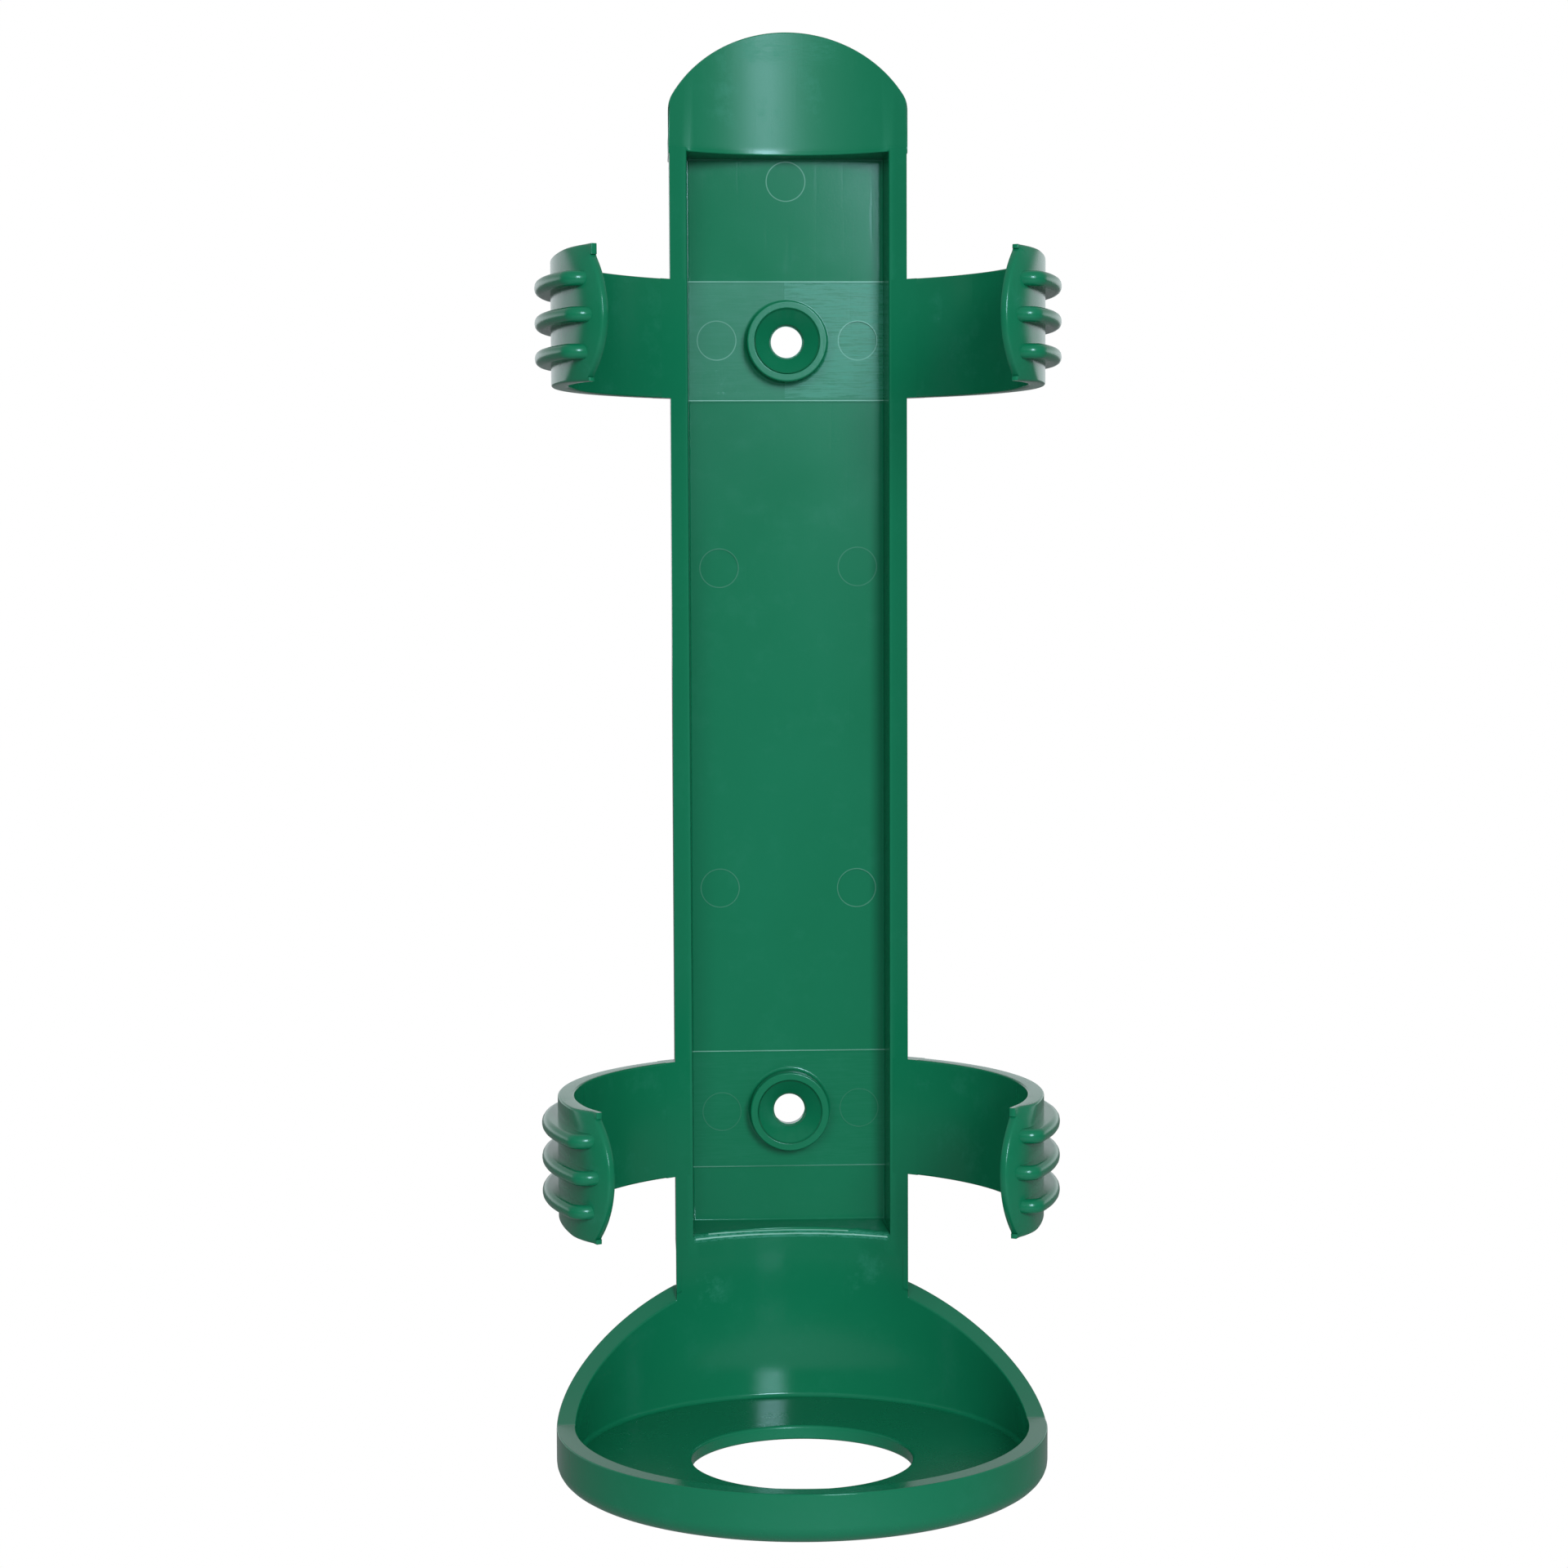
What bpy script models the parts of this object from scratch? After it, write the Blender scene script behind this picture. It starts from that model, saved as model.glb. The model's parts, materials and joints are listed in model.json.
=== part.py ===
"""Clip-in bottle bracket of a gravity game feeder, one green plastic moulding.

Units are metres.  The origin is on the flat rear mounting face, midway between
the two screw holes: +X to the viewer's right, +Y into the wall or tree, +Z up.
The bottle's axis is vertical and stands AXIS_Y in front of the rear face.
Angles called "turn" are measured about that axis, from the rear (+Y) towards
the side (+X), so 90 degrees is the widest point of a clip ring.
"""

import math

import bmesh
import bpy
from mathutils import Matrix, Vector

MM = 0.001

# Driving dimensions ---------------------------------------------------------
BOTTLE_R = 33.0 * MM            # inside radius of the clip rings and the trough
WALL = 2.4 * MM                 # moulded wall thickness
REAR_TO_AXIS = 39.0 * MM        # rear mounting face to the bottle's axis
SPINE_HALF = 18.15 * MM         # half the width of the spine
POCKET_HALF_FRONT = 15.5 * MM   # half the pocket's width at its mouth
POCKET_HALF_FLOOR = 15.2 * MM   # half the pocket's width at its floor
PLATE = 2.4 * MM                # thickness of the back plate
GAP = 0.3 * MM                  # clearance between neighbouring solids

SCREW_PITCH = 120.0 * MM        # spacing of the two screw holes
SCREW_HOLE_R = 2.6 * MM
BOSS_R = 6.2 * MM
BOSS_MOUTH_R = 4.85 * MM
BOSS_FRONT = 5.8 * MM           # rear face to the boss's front face

POCKET_TOP = 88.4 * MM
POCKET_BOTTOM = -78.7 * MM
LEDGE = 2.4 * MM                # thickness of the pocket's end walls

DOME_R = 20.3 * MM              # radius of the rounded top
DOME_APEX = 106.9 * MM

CUP_BASE = -107.5 * MM
CUP_INNER_R = 33.5 * MM
CUP_OUTER_R = 36.0 * MM
CUP_FLOOR = 2.2 * MM
CUP_EDGE_R = 2.4 * MM           # rounding of the cup's lower outer edge
CUP_HOLE_R = 16.25 * MM
LIP_HEIGHT = 7.3 * MM           # height of the low front lip
CUP_BACK_HEIGHT = 21.0 * MM     # height of the cup wall where it meets the neck
LIP_SLOPE = 0.2423              # rise of the side wall's edge, per metre back
LIP_CURVE = 6.34                # and per metre squared

ARM_HEIGHT = 18.0 * MM
TIP_CORNER_TURN = math.radians(114.5)
TIP_MIDDLE_TURN = math.radians(124.0)
RIB_PITCH = 5.0 * MM
RIB_THICKNESS = 2.0 * MM
RIB_R = 37.6 * MM
RIB_START_TURN = math.radians(69.0)
RIB_END_TURN = math.radians(117.0)
RIB_END_TAPER = math.radians(4.0)

# Worked out from the driving dimensions -------------------------------------
AXIS_Y = -REAR_TO_AXIS
SHELL_R = BOTTLE_R + WALL
PLATE_FRONT = -PLATE
SPINE_TURN = math.asin(SPINE_HALF / BOTTLE_R)
ARM_ROOT_X = SPINE_HALF + GAP
ARM_ROOT_Y = AXIS_Y + (math.sqrt(BOTTLE_R**2 - ARM_ROOT_X**2)
                       + math.sqrt(SHELL_R**2 - ARM_ROOT_X**2)) / 2

# Fineness of the round shapes -----------------------------------------------
ARC_STEP = math.radians(4.5)
CUP_SEGMENTS = 80
HOLE_SEGMENTS = 32
FAR = 60.0 * MM                 # reach of the cutters beyond the solids


def clear_scene():
    """Remove whatever the file was opened with."""
    for item in list(bpy.data.objects):
        bpy.data.objects.remove(item, do_unlink=True)


def green_plastic(name):
    """The moulding's own mid green, semi-gloss."""
    material = bpy.data.materials.new(name)
    material.use_nodes = True
    shader = material.node_tree.nodes["Principled BSDF"]
    shader.inputs["Base Color"].default_value = (0.012, 0.165, 0.085, 1.0)
    shader.inputs["Roughness"].default_value = 0.38
    shader.inputs["Metallic"].default_value = 0.0
    return material


def add_object(name, shape, smooth=True):
    """Turn a finished bmesh into a named object with its own material."""
    bmesh.ops.remove_doubles(shape, verts=shape.verts, dist=1e-7)
    bmesh.ops.recalc_face_normals(shape, faces=shape.faces)
    mesh = bpy.data.meshes.new(name)
    shape.to_mesh(mesh)
    shape.free()
    if smooth:
        mesh.shade_smooth()
        mesh.set_sharp_from_angle(angle=math.radians(30.0))
    item = bpy.data.objects.new(name, mesh)
    item.data.materials.append(green_plastic(name + "_green"))
    bpy.context.scene.collection.objects.link(item)
    return item


def hide_cutter(item):
    """Mark an object as a cutter only."""
    item.hide_render = True
    item.display_type = "WIRE"


def cut(item, cutter, operation="DIFFERENCE"):
    """Cut one object with another by an exact Boolean."""
    hide_cutter(cutter)
    modifier = item.modifiers.new(operation.title(), "BOOLEAN")
    modifier.operation = operation
    modifier.solver = "EXACT"
    modifier.object = cutter


def on_ring(radius, turn, height=0.0):
    """A point at a radius and turn about the bottle's axis."""
    return Vector((radius * math.sin(turn), AXIS_Y + radius * math.cos(turn), height))


def ring_arc(radius, first, last):
    """Points along an arc about the bottle's axis, in plan."""
    count = max(1, math.ceil(abs(last - first) / ARC_STEP))
    return [on_ring(radius, first + (last - first) * i / count) for i in range(count + 1)]


def prism(outline, travel):
    """Extrude a flat outline along a vector."""
    shape = bmesh.new()
    face = shape.faces.new([shape.verts.new(point) for point in outline])
    grown = bmesh.ops.extrude_face_region(shape, geom=[face])
    moved = [part for part in grown["geom"] if isinstance(part, bmesh.types.BMVert)]
    bmesh.ops.translate(shape, verts=moved, vec=travel)
    return shape


def standing_prism(outline, low, high):
    """Extrude a plan outline upwards, from one height to another."""
    return prism([(p[0], p[1], low) for p in outline], (0.0, 0.0, high - low))


def turned(profile, centre, axis, segments):
    """Spin a closed profile once about an axis."""
    shape = bmesh.new()
    verts = [shape.verts.new(point) for point in profile]
    edges = [shape.edges.new((verts[i - 1], verts[i])) for i in range(len(verts))]
    bmesh.ops.spin(shape, geom=verts + edges, cent=centre, axis=axis,
                   angle=math.tau, steps=segments, use_merge=True)
    return shape


# Spine ----------------------------------------------------------------------

def screw_hole_cutter(name, height):
    """A plain round cutter through the back plate."""
    shape = bmesh.new()
    placing = Matrix.Translation((0.0, 0.0, height)) @ Matrix.Rotation(math.pi / 2, 4, "X")
    bmesh.ops.create_cone(shape, cap_ends=True, segments=HOLE_SEGMENTS, radius1=SCREW_HOLE_R,
                          radius2=SCREW_HOLE_R, depth=4 * PLATE, matrix=placing)
    return add_object(name, shape, smooth=False)


def back_plate():
    """The flat plate that lies against the wall and is the pocket's floor."""
    corners = [(-SPINE_HALF, PLATE_FRONT), (SPINE_HALF, PLATE_FRONT),
               (SPINE_HALF, 0.0), (-SPINE_HALF, 0.0)]
    shape = standing_prism(corners, POCKET_BOTTOM - LEDGE, POCKET_TOP + LEDGE)
    plate = add_object("back_plate", shape, smooth=False)
    for label, height in (("upper", SCREW_PITCH / 2), ("lower", -SCREW_PITCH / 2)):
        cut(plate, screw_hole_cutter(label + "_hole_cutter", height))


def rail(name, side):
    """One side wall of the pocket; its front edge follows the bottle's round."""
    mouth_turn = math.asin(POCKET_HALF_FRONT / BOTTLE_R)
    rear = PLATE_FRONT - GAP
    outline = [Vector((POCKET_HALF_FLOOR, rear, 0.0)), Vector((SPINE_HALF, rear, 0.0))]
    outline += ring_arc(BOTTLE_R, SPINE_TURN, mouth_turn)
    outline = [(side * p.x, p.y) for p in outline]
    add_object(name, standing_prism(outline, POCKET_BOTTOM + GAP, POCKET_TOP - GAP), smooth=False)


def trough_block(name, low, high):
    """A full-width block whose front is hollowed to the bottle's radius."""
    rear = PLATE_FRONT - GAP
    outline = ring_arc(BOTTLE_R, -SPINE_TURN, SPINE_TURN)
    outline += [(SPINE_HALF, rear), (-SPINE_HALF, rear)]
    return add_object(name, standing_prism(outline, low, high))


def behind_shell_cutter(name, low, high):
    """Removes what lies behind the thin curved wall."""
    reach = math.radians(50.0)
    outline = ring_arc(SHELL_R, -reach, reach)
    outline += [(FAR, outline[-1][1]), (FAR, FAR), (-FAR, FAR), (-FAR, outline[0][1])]
    return add_object(name, standing_prism(outline, low, high))


def dome_cutter(name):
    """The rounded outline of the top, run through from front to back."""
    centre = DOME_APEX - DOME_R
    edge = math.acos(SPINE_HALF / DOME_R)
    steps = 14
    outline = [(-SPINE_HALF - MM, -FAR, 0.0), (SPINE_HALF + MM, -FAR, 0.0)]
    outline.append((SPINE_HALF + MM, -FAR, centre + DOME_R * math.sin(edge)))
    for i in range(steps + 1):
        angle = edge + (math.pi - 2 * edge) * i / steps
        outline.append((DOME_R * math.cos(angle), -FAR, centre + DOME_R * math.sin(angle)))
    outline.append((-SPINE_HALF - MM, -FAR, centre + DOME_R * math.sin(edge)))
    return add_object(name, prism(outline, (0.0, 2 * FAR, 0.0)))


def top_guard():
    """The rounded curved wall above the pocket, with the pocket's top ledge."""
    guard = trough_block("top_guard", POCKET_TOP, DOME_APEX + MM)
    cut(guard, behind_shell_cutter("guard_rear_cutter", POCKET_TOP + LEDGE, DOME_APEX + FAR))
    cut(guard, dome_cutter("dome_cutter"), "INTERSECT")


def lower_neck():
    """The curved wall between pocket and cup, with the pocket's bottom ledge."""
    foot = CUP_BASE + CUP_BACK_HEIGHT + GAP
    neck = trough_block("lower_neck", foot, POCKET_BOTTOM)
    cut(neck, behind_shell_cutter("neck_rear_cutter", foot - FAR, POCKET_BOTTOM - LEDGE))


def screw_boss(name, height):
    """A raised ring with a countersunk mouth round a screw hole."""
    rear = PLATE_FRONT - GAP
    front = -BOSS_FRONT
    throat = front + (BOSS_MOUTH_R - SCREW_HOLE_R)
    profile = [(SCREW_HOLE_R, rear), (BOSS_R, rear), (BOSS_R, front),
               (BOSS_MOUTH_R, front), (SCREW_HOLE_R, throat)]
    points = [(r, y, height) for r, y in profile]
    shape = turned(points, (0.0, 0.0, height), (0.0, 1.0, 0.0), HOLE_SEGMENTS)
    add_object(name, shape)


# Cup ------------------------------------------------------------------------

def cup_floor():
    """The flat ring that the bottle stands on, open in the middle."""
    outer = CUP_INNER_R - GAP
    top = CUP_BASE + CUP_FLOOR
    profile = [(CUP_HOLE_R, CUP_BASE), (outer, CUP_BASE), (outer, top), (CUP_HOLE_R, top)]
    points = [(r, AXIS_Y, z) for r, z in profile]
    shape = turned(points, (0.0, AXIS_Y, 0.0), (0.0, 0.0, 1.0), CUP_SEGMENTS)
    add_object("cup_floor", shape)


def lip_height(back):
    """Height of the cup wall's edge above its base, by distance back."""
    if back <= 0.0:
        return LIP_HEIGHT
    return min(CUP_BACK_HEIGHT, LIP_HEIGHT + LIP_SLOPE * back + LIP_CURVE * back**2)


def lip_cutter():
    """Removes everything above the cup wall's swept edge."""
    steps = 24
    back = [CUP_OUTER_R * 1.05 * i / steps for i in range(steps + 1)]
    outline = [(-FAR, AXIS_Y - FAR, CUP_BASE + LIP_HEIGHT)]
    outline += [(-FAR, AXIS_Y + b, CUP_BASE + lip_height(b)) for b in back]
    outline += [(-FAR, AXIS_Y + back[-1], FAR), (-FAR, AXIS_Y - FAR, FAR)]
    return add_object("lip_cutter", prism(outline, (2 * FAR, 0.0, 0.0)), smooth=False)


def cup_wall():
    """The cup's wall: low in front, sweeping up to the neck behind."""
    arc_steps = 4
    edge = [(CUP_OUTER_R - CUP_EDGE_R * (1 - math.sin(math.pi / 2 * i / arc_steps)),
             CUP_BASE + CUP_EDGE_R * (1 - math.cos(math.pi / 2 * i / arc_steps)))
            for i in range(arc_steps + 1)]
    top = CUP_BASE + CUP_BACK_HEIGHT
    profile = [(CUP_INNER_R, CUP_BASE)] + edge + [(CUP_OUTER_R, top), (CUP_INNER_R, top)]
    points = [(r, AXIS_Y, z) for r, z in profile]
    shape = turned(points, (0.0, AXIS_Y, 0.0), (0.0, 0.0, 1.0), CUP_SEGMENTS)
    cut(add_object("cup_wall", shape), lip_cutter())


# Clip arms ------------------------------------------------------------------

def tip_turn(offset):
    """Turn of the arm's rounded end at a height above or below its middle."""
    half = ARM_HEIGHT / 2
    bulge = (TIP_MIDDLE_TURN - TIP_CORNER_TURN) * BOTTLE_R
    arc = (half**2 + bulge**2) / (2 * bulge)
    return TIP_MIDDLE_TURN - (arc - math.sqrt(arc**2 - offset**2)) / BOTTLE_R


def arm_shape(side):
    """A curved strip with a tongue-shaped end, about the arm's own middle height."""
    start = SPINE_TURN - ARC_STEP
    columns = math.ceil((TIP_MIDDLE_TURN - start) / ARC_STEP)
    rows = 8
    shape = bmesh.new()
    bmesh.ops.create_grid(shape, x_segments=columns, y_segments=rows, size=0.5)
    for vert in shape.verts:
        offset = vert.co.y * ARM_HEIGHT
        turn = start + (vert.co.x + 0.5) * (tip_turn(offset) - start)
        vert.co = on_ring(BOTTLE_R, turn, offset)
    bmesh.ops.recalc_face_normals(shape, faces=shape.faces)
    thicken_outwards(shape)
    inner_side = bmesh.ops.bisect_plane(
        shape, geom=shape.verts[:] + shape.edges[:] + shape.faces[:],
        plane_co=(ARM_ROOT_X, 0.0, 0.0), plane_no=(1.0, 0.0, 0.0), clear_inner=True)
    rim = [part for part in inner_side["geom_cut"] if isinstance(part, bmesh.types.BMEdge)]
    bmesh.ops.contextual_create(shape, geom=rim)
    bmesh.ops.scale(shape, verts=shape.verts, vec=(side, 1.0, 1.0))
    return shape


def thicken_outwards(shape):
    """Give a strip on the inner radius its wall, by an outward radial extrusion."""
    grown = bmesh.ops.extrude_face_region(shape, geom=shape.faces[:], use_keep_orig=True)
    growth = SHELL_R / BOTTLE_R
    for part in grown["geom"]:
        if isinstance(part, bmesh.types.BMVert):
            part.co.x *= growth
            part.co.y = AXIS_Y + (part.co.y - AXIS_Y) * growth


def rib_shape(side, offset):
    """A finger rib round the outside of an arm, tapered at both ends."""
    inner = ring_arc(SHELL_R + GAP, RIB_START_TURN, RIB_END_TURN)
    outer = ring_arc(RIB_R, RIB_END_TURN - RIB_END_TAPER / 2, RIB_START_TURN + RIB_END_TAPER)
    outline = [(side * p.x, p.y) for p in inner + outer]
    low = offset - RIB_THICKNESS / 2
    return standing_prism(outline, low, low + RIB_THICKNESS)


def hang_on_hinge(item, hinge):
    """Move a solid's origin onto its hinge axis and parent it there."""
    item.data.transform(Matrix.Translation((-hinge.location.x, -hinge.location.y, 0.0)))
    item.parent = hinge


def clip_arm(label, side, height):
    """One springy arm with its three finger ribs, on an upright hinge at the root."""
    hinge = bpy.data.objects.new(label + "_hinge", None)
    hinge.location = (side * ARM_ROOT_X, ARM_ROOT_Y, height)
    bpy.context.scene.collection.objects.link(hinge)
    hang_on_hinge(add_object(label + "_arm", arm_shape(side)), hinge)
    for place, offset in (("top", RIB_PITCH), ("middle", 0.0), ("bottom", -RIB_PITCH)):
        rib = add_object(f"{label}_rib_{place}", rib_shape(side, offset))
        hang_on_hinge(rib, hinge)
        bevel = rib.modifiers.new("Bevel", "BEVEL")
        bevel.width = RIB_THICKNESS * 0.3
        bevel.segments = 1
        bevel.limit_method = "ANGLE"


clear_scene()
back_plate()
rail("left_rail", -1)
rail("right_rail", 1)
top_guard()
lower_neck()
screw_boss("upper_screw_boss", SCREW_PITCH / 2)
screw_boss("lower_screw_boss", -SCREW_PITCH / 2)
cup_floor()
cup_wall()
clip_arm("upper_left", -1, SCREW_PITCH / 2)
clip_arm("upper_right", 1, SCREW_PITCH / 2)
clip_arm("lower_left", -1, -SCREW_PITCH / 2)
clip_arm("lower_right", 1, -SCREW_PITCH / 2)
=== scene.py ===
import json
import math

import bmesh
import bpy
from mathutils import Matrix, Vector


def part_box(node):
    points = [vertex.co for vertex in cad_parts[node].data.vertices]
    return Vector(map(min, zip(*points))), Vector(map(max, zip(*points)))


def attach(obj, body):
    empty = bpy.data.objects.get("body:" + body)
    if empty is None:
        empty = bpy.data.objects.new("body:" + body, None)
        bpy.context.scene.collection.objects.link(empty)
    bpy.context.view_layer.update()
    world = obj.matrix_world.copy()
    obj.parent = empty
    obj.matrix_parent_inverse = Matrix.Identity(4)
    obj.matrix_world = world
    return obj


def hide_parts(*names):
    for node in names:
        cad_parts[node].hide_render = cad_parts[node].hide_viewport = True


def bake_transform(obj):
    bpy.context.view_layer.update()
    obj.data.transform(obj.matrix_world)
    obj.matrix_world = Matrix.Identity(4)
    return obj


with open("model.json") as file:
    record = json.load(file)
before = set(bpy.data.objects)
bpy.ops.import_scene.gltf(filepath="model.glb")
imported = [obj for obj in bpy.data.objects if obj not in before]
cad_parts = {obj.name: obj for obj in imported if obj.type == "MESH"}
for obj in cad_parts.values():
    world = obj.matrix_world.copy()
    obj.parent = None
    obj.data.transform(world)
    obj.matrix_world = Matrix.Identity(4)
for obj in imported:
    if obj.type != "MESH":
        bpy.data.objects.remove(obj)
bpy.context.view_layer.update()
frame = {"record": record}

# ---------------------------------------------------------------------------
# Where the bracket sits
# The bracket hangs on two screws, so nothing stands under it: its rear face is
# the plane y = 0 and the bottle's axis stands upright in front of that plane.
# ---------------------------------------------------------------------------

MM = 0.001

cup_low, cup_high = (Vector(corner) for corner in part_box("cup_floor"))
arm_low, arm_high = (Vector(corner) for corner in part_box("upper_right_arm"))
plate_low, plate_high = (Vector(corner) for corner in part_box("back_plate"))

AXIS_Y = (cup_low.y + cup_high.y) / 2
CUP_BASE = cup_low.z
ARM_HALF_HEIGHT = (arm_high.z - arm_low.z) / 2
ARM_LEVEL = (arm_high.z + arm_low.z) / 2
LEDGE_TOP = plate_high.z
LEDGE_BOTTOM = plate_low.z
PLATE_FRONT = plate_low.y

camera_data = bpy.data.cameras.new("bench_camera")
camera_data.sensor_width = 36.0
camera_data.lens = 71.56
camera_data.clip_start = 0.01
camera_data.clip_end = 60.0
camera = bpy.data.objects.new("bench_camera", camera_data)
camera.location = (-22.8 * MM, -489.3 * MM, 25.4 * MM)
CAMERA_TURN = math.radians(-2.61)
CAMERA_TILT = math.radians(-4.0)
CAMERA_ROLL = math.radians(-0.23)
camera.rotation_euler = (Matrix.Rotation(CAMERA_TURN, 3, "Z")
                         @ Matrix.Rotation(math.pi / 2 + CAMERA_TILT, 3, "X")
                         @ Matrix.Rotation(CAMERA_ROLL, 3, "Z")).to_euler()
bpy.context.scene.collection.objects.link(camera)
bpy.context.scene.camera = camera


# ---------------------------------------------------------------------------
# Spine
# The long channel of the moulding: a flat rear plate, two side rails whose
# front edges follow the bottle, a ledge at each end of the pocket, the rounded
# guard above it and the neck below.  Moulded in green polypropylene, 2.4 mm.
# ---------------------------------------------------------------------------

BOTTLE_R = 33.0 * MM
WALL = 2.4 * MM
SHELL_R = BOTTLE_R + WALL
GUARD_HALF = 18.2 * MM
SPINE_HALF = 18.07 * MM
FINE_STEP = math.radians(1.5)

POCKET_TOP = 88.4 * MM
POCKET_BOTTOM = -78.7 * MM
POCKET_HALF_FRONT = 15.37 * MM
POCKET_HALF_FLOOR = 15.1 * MM
POCKET_CORNER_R = 0.2 * MM
POCKET_TOP_DRAFT = 0.3 * MM
POCKET_END_DRAFT = 0.9 * MM
RAIL_EDGE = 0.4 * MM
REAR_EDGE = 0.8 * MM

DOME_R = 20.3 * MM
DOME_APEX = 106.9 * MM
DOME_STEPS = 30
SHOULDER_R = 5.0 * MM
SHOULDER_STEPS = 8
# The guard is a hair wider than the rails; its sides step in between these two levels.
GUARD_STEP_HIGH = POCKET_TOP - 0.4 * MM
GUARD_STEP_LOW = POCKET_TOP - 0.5 * MM

# SPARE is how far a cutting shape runs past what it cuts, and FAR is clear of everything.
# Points closer than SEAM are merged, and within TOUCH two places count as the same.
# SLACK is the allowance when an edge is looked for by its place.
SPARE = 1.0 * MM
FAR = 80.0 * MM
SEAM = 0.002 * MM
TOUCH = 0.001 * MM
SLACK = 0.05 * MM


def on_ring(radius, turn, height):
    """A point about the bottle's axis; turn 0 is the rear, 90 degrees the side."""
    return Vector((radius * math.sin(turn), AXIS_Y + radius * math.cos(turn), height))


def ring_arc(radius, first, last, height=0.0):
    """Points along an arc about the bottle's axis, on steps that every piece shares."""
    low, high = min(first, last), max(first, last)
    turns = [low]
    nearly = 0.1 * FINE_STEP
    step = math.floor(low / FINE_STEP) + 1
    while step * FINE_STEP < high - nearly:
        if step * FINE_STEP > low + nearly:
            turns.append(step * FINE_STEP)
        step += 1
    turns.append(high)
    if first > last:
        turns.reverse()
    return [on_ring(radius, turn, height) for turn in turns]


def prism(outline, travel):
    """A closed block, extruded from a flat outline."""
    shape = bmesh.new()
    face = shape.faces.new([shape.verts.new(point) for point in outline])
    grown = bmesh.ops.extrude_face_region(shape, geom=[face])
    moved = [part for part in grown["geom"] if isinstance(part, bmesh.types.BMVert)]
    bmesh.ops.translate(shape, verts=moved, vec=travel)
    bmesh.ops.recalc_face_normals(shape, faces=shape.faces)
    return shape


def round_edges(shape, edges, width, segments):
    """Round the chosen edges of a shape."""
    bmesh.ops.bevel(shape, geom=list(edges), offset=width, offset_type="OFFSET",
                    affect="EDGES", segments=segments, profile=0.5, material=-1,
                    clamp_overlap=False)


def divide(shape, axis, place, faces=None):
    """Divide a shape, or only some of its faces, along a plane across one axis."""
    if faces is None:
        parts = shape.verts[:] + shape.edges[:] + shape.faces[:]
    else:
        # Edges and corners shared by several faces are taken once, in a settled order.
        parts = faces + list(dict.fromkeys(edge for face in faces for edge in face.edges))
        parts += list(dict.fromkeys(vert for face in faces for vert in face.verts))
    normal = Vector((0.0, 0.0, 0.0))
    normal[axis] = 1.0
    bmesh.ops.bisect_plane(shape, geom=parts, plane_co=normal * place, plane_no=normal)


def upright_edges(shape, wanted):
    """The shape's vertical edges whose middle passes a test."""
    found = []
    for edge in shape.edges:
        span = edge.verts[1].co - edge.verts[0].co
        middle = (edge.verts[0].co + edge.verts[1].co) / 2
        if abs(span.z) > 0.9 * span.length and wanted(middle):
            found.append(edge)
    return found


def as_object(name, shape):
    """Hand a finished bmesh over to an object of its own."""
    mesh = bpy.data.meshes.new(name)
    shape.to_mesh(mesh)
    shape.free()
    item = bpy.data.objects.new(name, mesh)
    bpy.context.scene.collection.objects.link(item)
    return item


def settle(item):
    """Apply a piece's modifiers to its mesh."""
    bpy.context.view_layer.update()
    graph = bpy.context.evaluated_depsgraph_get()
    mesh = bpy.data.meshes.new_from_object(item.evaluated_get(graph))
    item.modifiers.clear()
    old = item.data
    item.data = mesh
    bpy.data.meshes.remove(old)
    item.data.name = item.name


def combine(item, shape, operation):
    """Cut, join or intersect a piece with a second shape, then drop the second."""
    tool = as_object(item.name + "_tool", shape)
    step = item.modifiers.new("step", "BOOLEAN")
    step.operation = operation
    step.solver = "EXACT"
    step.object = tool
    settle(item)
    bpy.data.objects.remove(tool, do_unlink=True)
    joined = bmesh.new()
    joined.from_mesh(item.data)
    bmesh.ops.remove_doubles(joined, verts=joined.verts, dist=SEAM)
    bmesh.ops.dissolve_degenerate(joined, edges=joined.edges, dist=SEAM)
    joined.to_mesh(item.data)
    joined.free()


def spine_block():
    """The solid bar, hollowed in front to the bottle, before the pocket is cut."""
    edge_turn = math.asin(GUARD_HALF / BOTTLE_R)
    foot = CUP_BASE + SPARE
    outline = [Vector((p.x, p.y, foot)) for p in ring_arc(BOTTLE_R, -edge_turn, edge_turn)]
    outline.append(Vector((GUARD_HALF, 0.0, foot)))
    outline.append(Vector((-GUARD_HALF, 0.0, foot)))
    shape = prism(outline, (0.0, 0.0, DOME_APEX - CUP_BASE + 2 * SPARE))
    for height in (GUARD_STEP_HIGH, GUARD_STEP_LOW):
        divide(shape, 2, height)
    for vert in shape.verts:
        if vert.co.z < (GUARD_STEP_HIGH + GUARD_STEP_LOW) / 2 and abs(vert.co.x) > SPINE_HALF:
            vert.co.x = math.copysign(SPINE_HALF, vert.co.x)
    for width, at_rear in ((RAIL_EDGE, False), (REAR_EDGE, True)):
        corners = upright_edges(shape, lambda middle: abs(middle.x) > SPINE_HALF - SEAM
                                and (middle.y > PLATE_FRONT) == at_rear)
        round_edges(shape, corners, width, 3)
    return shape


def behind_shell(low, high):
    """What is left out behind the thin curved wall."""
    reach = math.radians(55.0)
    outline = [Vector((p.x, p.y, low)) for p in ring_arc(SHELL_R, -reach, reach)]
    outline += [Vector((FAR, outline[-1].y, low)), Vector((FAR, FAR, low)),
                Vector((-FAR, FAR, low)), Vector((-FAR, outline[0].y, low))]
    return prism(outline, (0.0, 0.0, high - low))


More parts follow.
